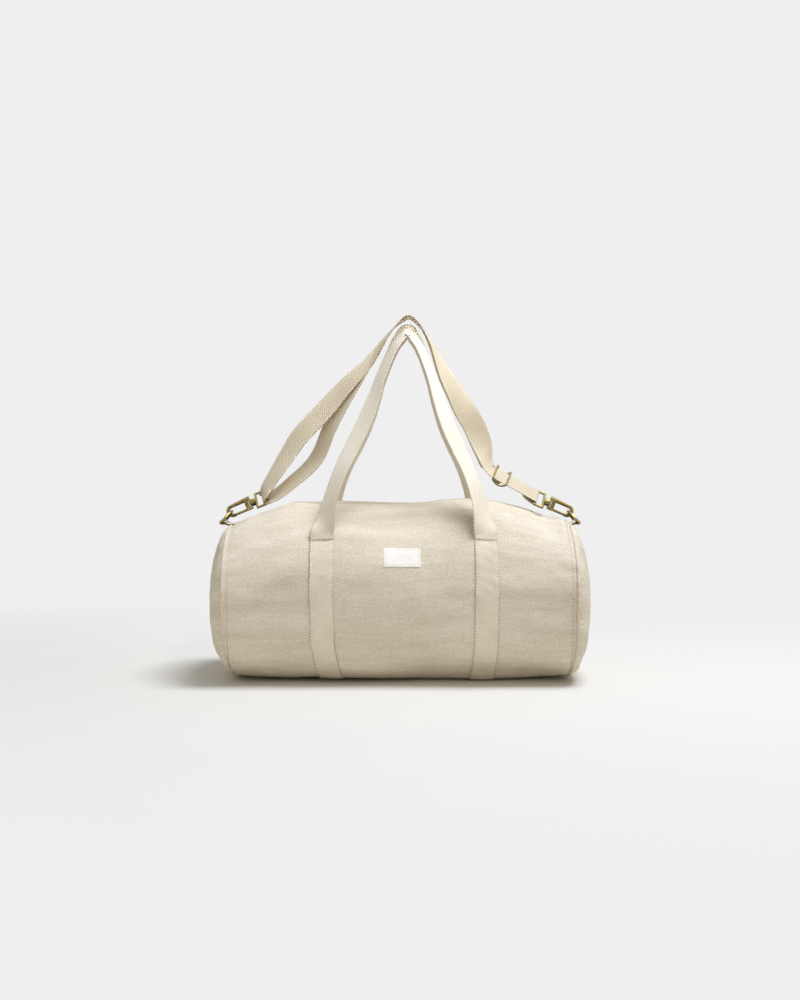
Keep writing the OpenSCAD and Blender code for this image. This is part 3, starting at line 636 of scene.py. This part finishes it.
def makeZipTape(side, name, node):
    # z = top - topDrop(x) - slope * (y - flatTo) - a step down near the ends, under the bindings
    x = np.linspace(-zipTape["halfLength"], zipTape["halfLength"], 165)
    xx, yy = np.meshgrid(x, np.linspace(zipTape["inner"], zipTape["outer"], 7), indexing="ij")
    under = zipTape["step"] * np.clip((np.abs(xx) - zipTape["stepFrom"]) / zipTape["stepLength"], 0, 1)
    slope = np.maximum(0, yy - zipTape["flatTo"]) * zipTape["slope"]
    outer = np.stack([xx, side * yy, zipTape["top"] - topDrop(xx) - slope - under], -1)
    inner = outer - np.array([0, 0, zipTape["thick"]])
    if side < 0:
        outer, inner = outer[:, ::-1], inner[:, ::-1]
    piece = clothPatch(name, outer, inner, np.stack([xx, yy], -1))
    piece.data.materials.append(tape)
    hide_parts(node)
    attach(piece, "bag")


makeBinding(-1, "seamBindingLeft", "left_seam_binding")
makeBinding(1, "seamBindingRight", "right_seam_binding")
makeZipTape(-1, "zipTapeFront", "front_zip_tape")
makeZipTape(1, "zipTapeBack", "back_zip_tape")

# Sewn bands of webbing round the barrel, and the blank label

bands = {"width": 0.030, "thick": 0.0016, "left": -0.100, "right": 0.110, "first": 142.0,
         "last": 398.0, "leftDrift": 0.013, "rightDrift": -0.004, "driftTurn": 262.0,
         "driftReach": 46.0, "wander": 0.0004, "uneven": 0.00018}


def makeBand(name, node, place, drift, seed):
    # canvasPoint(x, turn, cushion) over canvasPoint(x, turn), with x = place + drift * a bell round
    # driftTurn + the share of the width. The cushion has rounded edges and a furrow at each seam
    turn = np.linspace(bands["first"], bands["last"], 420)
    tt, ss = np.meshgrid(turn, np.linspace(0, 1, 25), indexing="ij")
    middle = place + drift * bump(tt, bands["driftTurn"], bands["driftReach"])
    wander = bands["wander"] * waves(arcOf(tt), ss * 0, seed, 5, 0.03, 0.09)
    x = middle + (ss - 0.5) * bands["width"] + wander
    edge = np.abs(ss - 0.5) * 2
    cushion = bands["thick"] * (0.92 + 0.1 * (1 - edge ** 6) - 0.25 * bump(edge, 0.81, 0.05))
    cushion = cushion + bands["uneven"] * waves(arcOf(tt), ss * 0.03, seed + 1, 8, 0.006, 0.02)
    outer = canvasPoint(x, tt, cushion)
    inner = canvasPoint(x, tt, 0.0)
    # On the underside the band presses into the canvas, and neither face sinks into the floor
    inner[..., 2] = np.maximum(inner[..., 2], 0.0004)
    pressed = np.minimum(outer[..., 2], inner[..., 2] - 0.0003)
    outer[..., 2] = np.maximum(np.where(np.abs(tt - 270) < 60, pressed, outer[..., 2]), 0.0)
    uv = np.stack([aroundLength(tt), ss], -1)
    piece = clothPatch(name, outer[:, ::-1], inner[:, ::-1], uv[:, ::-1])
    piece.data.materials.append(webbing)
    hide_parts(node)
    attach(piece, "bag")


makeBand("sewnBandLeft", "left_sewn_webbing", bands["left"], bands["leftDrift"], 71)
makeBand("sewnBandRight", "right_sewn_webbing", bands["right"], bands["rightDrift"], 77)

labelLook = {"width": 0.047, "height": 0.026, "x": 0.0025, "turn": 154.3, "tilt": 0.3,
             "light": (255, 251, 242), "shade": (238, 231, 216), "weave": 0.0006, "roughness": 0.88,
             "thick": 0.0008, "furrow": 0.0003, "border": 0.0025, "stitch": 0.0019, "pitch": 0.0027}


def labelShader():
    # Blank cotton, finely woven and slightly uneven
    u, v, _ = axes(uvOf())
    weave = ripples(u, labelLook["weave"]) * ripples(v, labelLook["weave"]) * 0.5 + 0.5
    stain = noise(uvOf(), 60.0, 3.0).clip(0.25, 0.75)
    tone = mixColour(weave * 0.4 + stain * 0.6, labelLook["shade"], labelLook["light"])
    return {"Base Color": tone, "Roughness": labelLook["roughness"],
            "Normal": bumped(weave + stain, 0.35, 0.00012)}


labelCloth = newMaterial("label", labelShader)


def labelPoint(u, v, out):
    # u runs across and v up the label, in metres from its middle
    tilt = math.radians(labelLook["tilt"])
    x = labelLook["x"] + u * math.cos(tilt) - v * math.sin(tilt)
    rise = u * math.sin(tilt) + v * math.cos(tilt)
    return canvasPoint(x, labelLook["turn"] - np.degrees(rise / 0.1175), out)


def makeLabel():
    # labelPoint(u, v, puff): thick, with a furrow under the border's stitches and small waves
    width, height, thick = labelLook["width"], labelLook["height"], labelLook["thick"]
    uu, vv = np.meshgrid(np.linspace(-0.5, 0.5, 61) * width, np.linspace(-0.5, 0.5, 37) * height,
                         indexing="ij")
    near = np.minimum(width / 2 - np.abs(uu), height / 2 - np.abs(vv))
    puff = (thick - labelLook["furrow"] * bump(near, labelLook["border"], 0.0012)
            + 0.00012 * waves(uu, vv, 83, 8, 0.008, 0.03))
    outer, inner = labelPoint(uu, vv, puff), labelPoint(uu, vv, 0.0001)
    piece = clothPatch("sewnLabel", outer[:, ::-1], inner[:, ::-1], np.stack([uu, vv], -1)[:, ::-1])
    piece.data.materials.append(labelCloth)
    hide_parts("label")
    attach(piece, "bag")
    # Border of stitches, at even steps round a rectangle
    w, h = width - 2 * labelLook["border"], height - 2 * labelLook["border"]
    rim = np.array([[-w, -h], [w, -h], [w, h], [-w, h], [-w, -h]]) / 2
    run = np.array([0, w, w + h, 2 * w + h, 2 * w + 2 * h])
    at = np.arange(0.0012, run[-1], labelLook["pitch"])

    def onBorder(at, out):
        # The point at a length walked round the border
        return labelPoint(np.interp(at, run, rim[:, 0]), np.interp(at, run, rim[:, 1]), out)

    middle = onBorder(at, thick)
    ways = unit(onBorder(at + 0.0008, thick) - middle)
    outs = squareTo(unit(onBorder(at, 0.006) - middle), ways)
    makeStitches("labelStitches", middle, ways, outs, "bag", labelLook["stitch"])


makeLabel()
print("bands and label done")

# Webbing along a path: rows of middle and width direction, with soft waviness

strip = {"width": 0.030, "thick": 0.0016, "edge": 0.0007, "uneven": 0.012}


def makeStrip(name, middles, widths, rides, nodes, seed, material):
    # path + w * wave along the width + rise along the outward side: a flat profile with rounded
    # edges and a furrow at each line of stitches, carried along the path
    path = np.asarray(middles)
    ways = unit(np.gradient(path, axis=0))
    across = squareTo(widths, ways)
    outs = np.cross(ways, across)
    run = runOf(path)
    half, soft = strip["width"] / 2, strip["edge"]
    w = np.array([-half, -half + soft, -0.86 * half, -0.72 * half, -0.4 * half, 0, 0.4 * half,
                  0.72 * half, 0.86 * half, half - soft, half])
    rise = np.array([0.25, 0.85, 1.0, 0.92, 1.0, 1.0, 1.0, 0.92, 1.0, 0.85, 0.25]) * strip["thick"] / 2
    w = np.concatenate([w, w[::-1]])
    rise = np.concatenate([-rise, rise[::-1]])
    wave = 1 + strip["uneven"] * waves(run, run * 0, seed, 7, 0.02, 0.12)
    spread = (w[None] * wave[:, None])[..., None] * across[:, None]
    rings = path[:, None] + spread + rise[None, :, None] * outs[:, None]
    uv = np.stack(np.broadcast_arrays(run[:, None], w[None] / strip["width"] + 0.5), -1)
    piece = sweptPiece(name, rings[:, ::-1], uv[:, ::-1])
    piece.data.materials.append(material)
    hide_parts(*nodes)
    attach(piece, rides)
    print(name, "length", round(float(run[-1]), 4))


# Handles, in millimetres: both legs run from a sewn foot to the fold at the top. Each row of the
# table gives a leg's reach to the top, its rise, and its turn as a share of 90 degrees

handle = {"foot": (-95.117, 186.213), "hangX": 10.0, "left": -100.0, "right": 110.0, "tilt": 40.0,
          "edgeY": 3.0, "half": 15.0, "layer": 0.8, "top": 470.6}
legShares = [[0, 0, 0], [0, 0.03, 0], [0.04, 0.09, 0.4], [0.08, 0.17, 0.56], [0.15, 0.26, 0.6],
             [0.24, 0.35, 0.6], [0.34, 0.43, 0.58], [0.47, 0.54, 0.6], [0.585, 0.66, 0.7],
             [0.675, 0.767, 0.82], [0.79, 0.88, 0.92], [0.89, 0.955, 0.97], [1, 1, 1]]


def handlePath():
    # foot + (apex - foot) * shares, smoothed. The width lies across the front at the feet and
    # points forwards at the top, downwards by the tilt
    tilt = math.radians(handle["tilt"])
    apex = np.array([handle["hangX"], -handle["edgeY"] - handle["half"] * math.cos(tilt),
                     handle["top"] - handle["half"] * math.sin(tilt) - handle["layer"]])
    s = np.array(legShares, float)

    def leg(x):
        # One leg's rows from its foot at x: place, turn and rise
        foot = np.array([x, *handle["foot"]])
        share = s[:, [0, 1, 1]]
        return np.concatenate([foot + (apex - foot) * share, s[:, 2:3], s[:, 1:2]], 1)

    rows = splineThrough(np.concatenate([leg(handle["left"]), leg(handle["right"])[-2::-1]]), 300)
    lean = tilt * np.clip(rows[:, 4:5], 0, 1) ** 2
    turn = np.radians(90 * np.clip(rows[:, 3:4], 0, 1))
    ways = unit(np.gradient(rows[:, :3], axis=0))
    front = squareTo(np.concatenate([0 * lean, -np.cos(lean), -np.sin(lean)], 1), ways)
    return rows[:, :3] * 0.001, np.cos(turn) * np.cross(ways, front) + np.sin(turn) * front


def makeHandles():
    # The back handle is the front one mirrored in y
    path, width = handlePath()
    flip = np.array([1, -1, 1])
    makeStrip("frontHandleWebbing", path, width, "front_handle", ["front_handle"], 91, handleWebbingPaintedShading)
    makeStrip("backHandleWebbing", path * flip, width * flip, "back_handle", ["back_handle"], 93,
              handleWebbingPaintedShading)


makeHandles()

# Shoulder strap, in millimetres. Each row of a table gives the reach and the rise or fall between
# the two ends of a branch as shares, the turn towards the front, and on the right a place in depth

strap = {"apex": (10.0, 0.0, 479.8), "eye": (182.016, 0.0, 237.488), "eyeTurn": 30.0,
         "hookUnder": (-0.390731, 0, -0.920505), "adjuster": (135.964, -1.394, 265.791),
         "runWay": (0.87462, 0, -0.48481), "lead": 15.6, "layer": 2.0, "fold": 2.8, "tail": 18.0,
         "loop": 9.6, "bar": 1.3, "slack": 0.15, "half": 0.8, "under": 1.9}
outerLeft = [[0.012, 0.05, 34], [0.09, 0.149, 42], [0.173, 0.25, 52], [0.257, 0.347, 58],
             [0.416, 0.48, 58], [0.565, 0.614, 48], [0.728, 0.748, 30], [0.843, 0.875, 12],
             [0.92, 0.95, 3]]
innerLeft = [[0.045, 0.001, 31], [0.1, 0.025, 33], [0.178, 0.075, 36], [0.31, 0.167, 40],
             [0.387, 0.252, 42], [0.455, 0.386, 42], [0.545, 0.52, 38], [0.652, 0.654, 30],
             [0.761, 0.788, 20], [0.84, 0.88, 8], [0.92, 0.955, 2]]
outerRight = [[0.125, 0.04, 2, 2], [0.23, 0.12, 6, 4.5], [0.311, 0.2, 14, 6], [0.376, 0.28, 24, 6],
              [0.465, 0.385, 40, 4.5], [0.58, 0.495, 58, 3], [0.685, 0.605, 76, 1.5],
              [0.768, 0.68, 83, 0.5], [0.83, 0.75, 80, 0], [0.88, 0.82, 68, -0.4],
              [0.915, 0.88, 52, -0.8], [0.945, 0.94, 38, -1.1]]


def strapBranch(rows, count):
    # Smooth points and width directions: cos turn (0, -1, 0) + sin turn (way z, 0, -way x)
    fine = splineThrough(rows, count)
    ways = unit(np.gradient(fine[:, :3], axis=0))
    turn = np.radians(fine[:, 3:4])
    zero = np.zeros_like(turn)
    width = np.cos(turn) * np.array([0, -1.0, 0]) + np.sin(turn) * np.concatenate(
        [ways[:, 2:3], zero, -ways[:, 0:1]], 1)
    return fine[:, :3], width


def foldRound(centre, radius, first, second, start, end, count):
    # centre + radius * (cos a first + sin a second), with a from start to end degrees
    a = np.radians(np.linspace(start, end, count))[:, None]
    return centre + radius * (np.cos(a) * first + np.sin(a) * second)


def fixedWidth(points, width):
    # A stretch whose width direction stays the same
    return points, np.broadcast_to(width, points.shape)


def rowsBetween(a, b, table):
    # a + (b - a) * shares in x and z, with the depth and the turn from the table
    return [[a[0] + (b[0] - a[0]) * reach, *(depth or [0.0]), a[2] + (b[2] - a[2]) * fall, turn]
            for reach, fall, turn, *depth in table]


def makeStrap():
    # One length of webbing: sewn tail, fold at the right eye, run up to the adjuster, outer branch
    # over the top, fold at the left eye, inner branch, and the second layer down to the adjuster
    apex, eye, adjuster = [np.array(strap[key]) for key in ("apex", "eye", "adjuster")]
    fold, layer = strap["fold"], strap["layer"]
    way = unit(np.array(strap["runWay"], float))
    lean = math.radians(strap["eyeTurn"])
    eyeWay = math.cos(lean) * np.array([0, -1.0, 0]) + math.sin(lean) * np.array(strap["hookUnder"])
    runWidth = squareTo(eyeWay, way)
    out = np.cross(runWidth, way)
    foldWay = squareTo(way, eyeWay)
    start = adjuster - strap["lead"] * way
    leftEye, leftWay = eye * [-1, 1, 1], eyeWay * [-1, 1, 1]
    leftSide = squareTo(np.array([1.0, 0, 0]), leftWay)
    leftRise = np.cross(leftWay, leftSide)
    low = apex - [0, 0, layer]
    outer = (rowsBetween(leftEye, apex, outerLeft) + [[*apex, 0.0]]
             + rowsBetween(apex, start, outerRight) + [[*start, strap["eyeTurn"]]])
    outerMiddle, outerWidth = strapBranch(outer, 320)
    inner, innerWidth = strapBranch(rowsBetween(leftEye, low, innerLeft) + [[*low, 0.0]], 170)
    # The second layer follows the first one on its under side down to the adjuster
    top = int(np.argmin(np.abs(outerMiddle[:, 0] - apex[0])))
    ways = unit(np.gradient(outerMiddle, axis=0))
    second = outerMiddle - layer * np.cross(squareTo(outerWidth, ways), ways)
    doubled = slice(top + 3, -5)
    # From its sewn fold at the right eye the webbing runs up to the adjuster
    run = start + (eye + fold * out - start) * np.linspace(0, 1, 22)[1:, None]
    f = np.linspace(1, 0.02, 10)[:, None]
    tail = eye - fold * out + f * ((2 * fold - layer) * out * f - strap["tail"] * foldWay)
    turnBack = foldRound(eye, fold, -out, foldWay, 0, 180, 17)
    leftFold = foldRound(leftEye, fold, leftSide, leftRise, 162, 300, 15)
    parts = [fixedWidth(tail, eyeWay), fixedWidth(turnBack[:-1], eyeWay),
             fixedWidth(run[::-1], runWidth), (outerMiddle[:-1][::-1], outerWidth[:-1][::-1]),
             fixedWidth(leftFold, leftWay), (inner, innerWidth), (second[doubled], outerWidth[doubled])]
    middles, widths = [np.concatenate(part) for part in zip(*parts)]
    makeStrip("strapWebbing", middles * 0.001, widths, "strap", ["strap_webbing"], 101, strapWebbing)
    # The sewn loop round the adjuster's middle bar, from its upper end and back to it
    radius = strap["bar"] + strap["slack"] + strap["half"]

    def atAdjuster(s, h):
        # s along the strap's run and h out of it, from the adjuster's middle
        return adjuster + s * way + h * out

    s = np.linspace(1, 0.03, 9)[:, None] * strap["loop"]
    close = np.minimum(1, s[::-1] / strap["loop"] / 0.7) * (2 * radius - layer)
    bend = foldRound(atAdjuster(0, -strap["under"] - radius), radius, out, way, 0, 180, 15)
    loop = np.concatenate([atAdjuster(-s, -strap["under"]), bend,
                           atAdjuster(-s[::-1], -strap["under"] - 2 * radius + close)]) * 0.001
    makeStrip("strapLoopWebbing", loop, np.broadcast_to(runWidth, loop.shape), "adjuster",
              ["strap_loop_end"], 103, strapWebbing)


makeStrap()

# Cloth tabs folded round the D-rings' bars

tabs = {"width": 0.027, "thick": 0.0014, "top": 0.1996}
tabLine = [[-8.5, 4.5], [-4.5, 3.4], [0, 2.6], [4.5, 3.1], [8.5, 5.3], [10.6, 6.9], [12.2, 7.75],
           [14.0, 7.75], [15.4, 6.7], [15.9, 5.0], [15.4, 3.3], [14.0, 2.3], [12.2, 2.25],
           [9.4, 2.3], [6.4, 1.4], [3.0, -0.4], [1.4, -2.0]]


def makeTab(side, name, node):
    # A flat profile with rounded edges, carried along a line in x and z, which the table gives
    # in millimetres outwards of the seam and above its top
    line = splineThrough(np.array(tabLine), 70) * 0.001 + [body["halfLength"], tabs["top"]]
    ways = unit(np.gradient(line, axis=0))
    outs = np.stack([-ways[:, 1], ways[:, 0]], -1)
    share = np.array([-0.5, -0.49, -0.46, -0.3, 0, 0.3, 0.46, 0.49, 0.5])
    rise = np.array([0.2, 0.7, 1, 0.95, 1.0, 0.95, 1, 0.7, 0.2]) * tabs["thick"] / 2
    w = np.concatenate([share, share[::-1]]) * tabs["width"]
    r = np.concatenate([rise, -rise[::-1]])
    spread = line[:, None] + outs[:, None] * r[None, :, None]
    rings = np.stack(np.broadcast_arrays(side * spread[..., 0], w[None], spread[..., 1]), -1)
    uv = np.stack(np.broadcast_arrays(runOf(line)[:, None], w[None]), -1)
    if side < 0:
        rings, uv = rings[:, ::-1], uv[:, ::-1]
    piece = sweptPiece(name, rings, uv)
    piece.data.materials.append(canvas)
    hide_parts(node)
    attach(piece, "bag")


makeTab(-1, "ringTabLeft", "left_ring_tab")
makeTab(1, "ringTabRight", "right_ring_tab")
print("strap and tabs done")

# Metal

brass = {"light": (188, 169, 104), "dark": (44, 34, 16), "roughness": 0.34}
steel = {"colour": (178, 176, 170), "roughness": 0.3}


def brassShader():
    # Antique plate with darker patina blotches; painted light brightens the faces that point up and
    # painted shade darkens those that point down
    place = objectPlace()
    patina = noise(place, 180.0, 4.0, 0.6).clip(0.35, 0.72)
    scratch = noise(stretched(place, 900.0, 900.0, 120.0), 1.0, 2.0).clip(0.4, 0.7)
    # Painted light and shade from the face's direction: lighter facing up, darker facing down
    worn = axes(Sock.node("ShaderNodeTexCoord", out=1))[2].clip(-0.6, 0.65)
    tone = mixColour(patina * 0.35 + worn * 0.65, brass["dark"], brass["light"])
    return {"Base Color": tone, "Metallic": 1.0,
            "Roughness": patina * -0.12 + scratch * 0.1 + brass["roughness"],
            "Normal": bumped(scratch, 0.15, 0.0001)}


def steelShader():
    # Plain steel wire with a slightly uneven shine
    rough = noise(objectPlace(), 400.0).clip(0.3, 0.7) * 0.1 + steel["roughness"]
    return {"Base Color": linear(steel["colour"]), "Metallic": 1.0, "Roughness": rough}


brassMetal = newMaterial("brass", brassShader)
steelMetal = newMaterial("steel", steelShader)


def smoothNode(node, limit=38.0):
    # Normals averaged over the faces that meet at a point within the limit angle
    mesh = node.data
    loops, faces = len(mesh.loops), len(mesh.polygons)
    vertex, total = np.zeros(loops, np.int32), np.zeros(faces, np.int32)
    place, normal, area = np.zeros(len(mesh.vertices) * 3), np.zeros(faces * 3), np.zeros(faces)
    mesh.loops.foreach_get("vertex_index", vertex)
    mesh.polygons.foreach_get("loop_total", total)
    mesh.polygons.foreach_get("normal", normal)
    mesh.polygons.foreach_get("area", area)
    mesh.vertices.foreach_get("co", place)
    face = np.repeat(np.arange(faces), total)
    n, a = normal.reshape(-1, 3)[face], area[face]
    spots = np.round(place.reshape(-1, 3)[vertex] * 1e6).astype(np.int64)
    group = np.unique(spots, axis=0, return_inverse=True)[1].ravel()
    order = np.argsort(group, kind="stable")
    count = np.bincount(group)
    start = np.concatenate([[0], np.cumsum(count)[:-1]])
    result = np.zeros((loops, 3))
    for shift in range(int(count.max())):
        partner = order[start[group] + shift % count[group]]
        close = (n * n[partner]).sum(-1) > math.cos(math.radians(limit))
        result += ((shift < count[group]) & close)[:, None] * n[partner] * a[partner][:, None]
    mesh.polygons.foreach_set("use_smooth", np.full(faces, True))
    mesh.normals_split_custom_set(unit(result).tolist())


metalNodes = [
    (brassMetal, ["front_zip_teeth", "back_zip_teeth", "zip_end_stops", "zip_slider", "zip_pull",
                  "left_d_ring", "right_d_ring", "left_hook", "right_hook", "left_gate",
                  "right_gate", "left_eye", "right_eye", "strap_adjuster"]),
    (steelMetal, ["left_gate_pin", "right_gate_pin", "left_gate_spring", "right_gate_spring"])]
for material, names in metalNodes:
    for name in names:
        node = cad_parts[name]
        node.data.materials.clear()
        node.data.materials.append(material)
        smoothNode(node)
print("metal done")

# Floor, backdrop and soft studio light

studio = {"floor": (222, 218, 206), "worn": (220, 216, 204), "background": (239, 239, 239),
          "glow": (250, 250, 252), "sky": 0.44, "cool": (0.92, 0.99, 1.17), "warm": (1.0, 0.98, 0.95),
          "fade": (0.3, 0.95), "half": 3.0, "below": 0.0002}
# Each lamp: watts, colour, width, spread in degrees, place and aim
lamps = {"key": (87.0, "cool", 1.3, 180, (0.9, -0.2, 3.0), (0, 0, 0.15)),
         "fillLeft": (6.6, "warm", 1.4, 180, (-1.9, -1.9, 0.3), (0, 0, 0.1)),
         "fillRight": (6.6, "warm", 1.4, 180, (2.0, -1.8, 0.3), (0, 0, 0.1)),
         "handles": (0.18, "warm", 0.3, 18, (0.6, -1.5, 1.5), (0.01, 0, 0.42))}


def floorShader():
    # The floor fades into the flat background away from the bag
    x, y, _ = axes(objectPlace())
    far = (x * x * 0.5 + y * y).math("SQRT")
    shade = noise(objectPlace(), 3.0, 2.0).clip(0.2, 0.8)
    tone = mixColour(shade, studio["worn"], studio["floor"])
    near, gone = studio["fade"]
    return {"Base Color": tone, "Roughness": 0.9, "Alpha": far.clip(gone, near)}


def skyLight():
    # The eye, metal and glass see the sky as the pale background; elsewhere it only lights the bag
    world = bpy.data.worlds.new("sky")
    bpy.context.scene.world = world
    world.use_nodes = True
    Sock.tree = world.node_tree
    glow = Sock.tree.nodes["Background"]
    Sock.feed(glow, {0: linear(studio["glow"]), 1: studio["sky"]})
    pale = {"Color": linear(studio["background"]), "Strength": 1.0}
    seen = Sock.node("ShaderNodeBackground", {}, pale)
    path = Sock.node("ShaderNodeLightPath", out="Is Camera Ray")
    share = path + path.beside("Is Glossy Ray") + path.beside("Is Transmission Ray")
    both = Sock.node("ShaderNodeMixShader", {}, {0: share, 1: Sock(glow.outputs[0]), 2: seen})
    Sock.feed(Sock.tree.nodes["World Output"], {0: both})


def makeLamp(name, watts, colour, size, spread, place, aim):
    # A square area lamp, turned so that it shines from its place at its aim
    light = bpy.data.lights.new(name, "AREA")
    light.color = studio[colour]
    light.energy = watts
    light.size = size
    light.spread = math.radians(spread)
    lamp = bpy.data.objects.new(name, light)
    lamp.location = place
    way = np.array(aim) - np.array(place)
    lean = math.acos(-way[2] / np.linalg.norm(way))
    lamp.rotation_euler = (lean, 0, math.atan2(way[1], way[0]) - math.pi / 2)
    bpy.context.scene.collection.objects.link(lamp)


def makeStudio():
    # Floor, lamps and sky
    half = studio["half"]
    corners = np.array([[-half, -half], [half, -half], [half, half], [-half, half]])
    points = np.concatenate([corners, np.full((4, 1), -studio["below"])], 1)
    floor = addPiece("floor", points, [[0, 1, 2, 3]])
    floor.data.materials.append(newMaterial("floor", floorShader))
    for name, values in lamps.items():
        makeLamp(name, *values)
    skyLight()


makeStudio()
bpy.context.scene.view_settings.view_transform = "Standard"
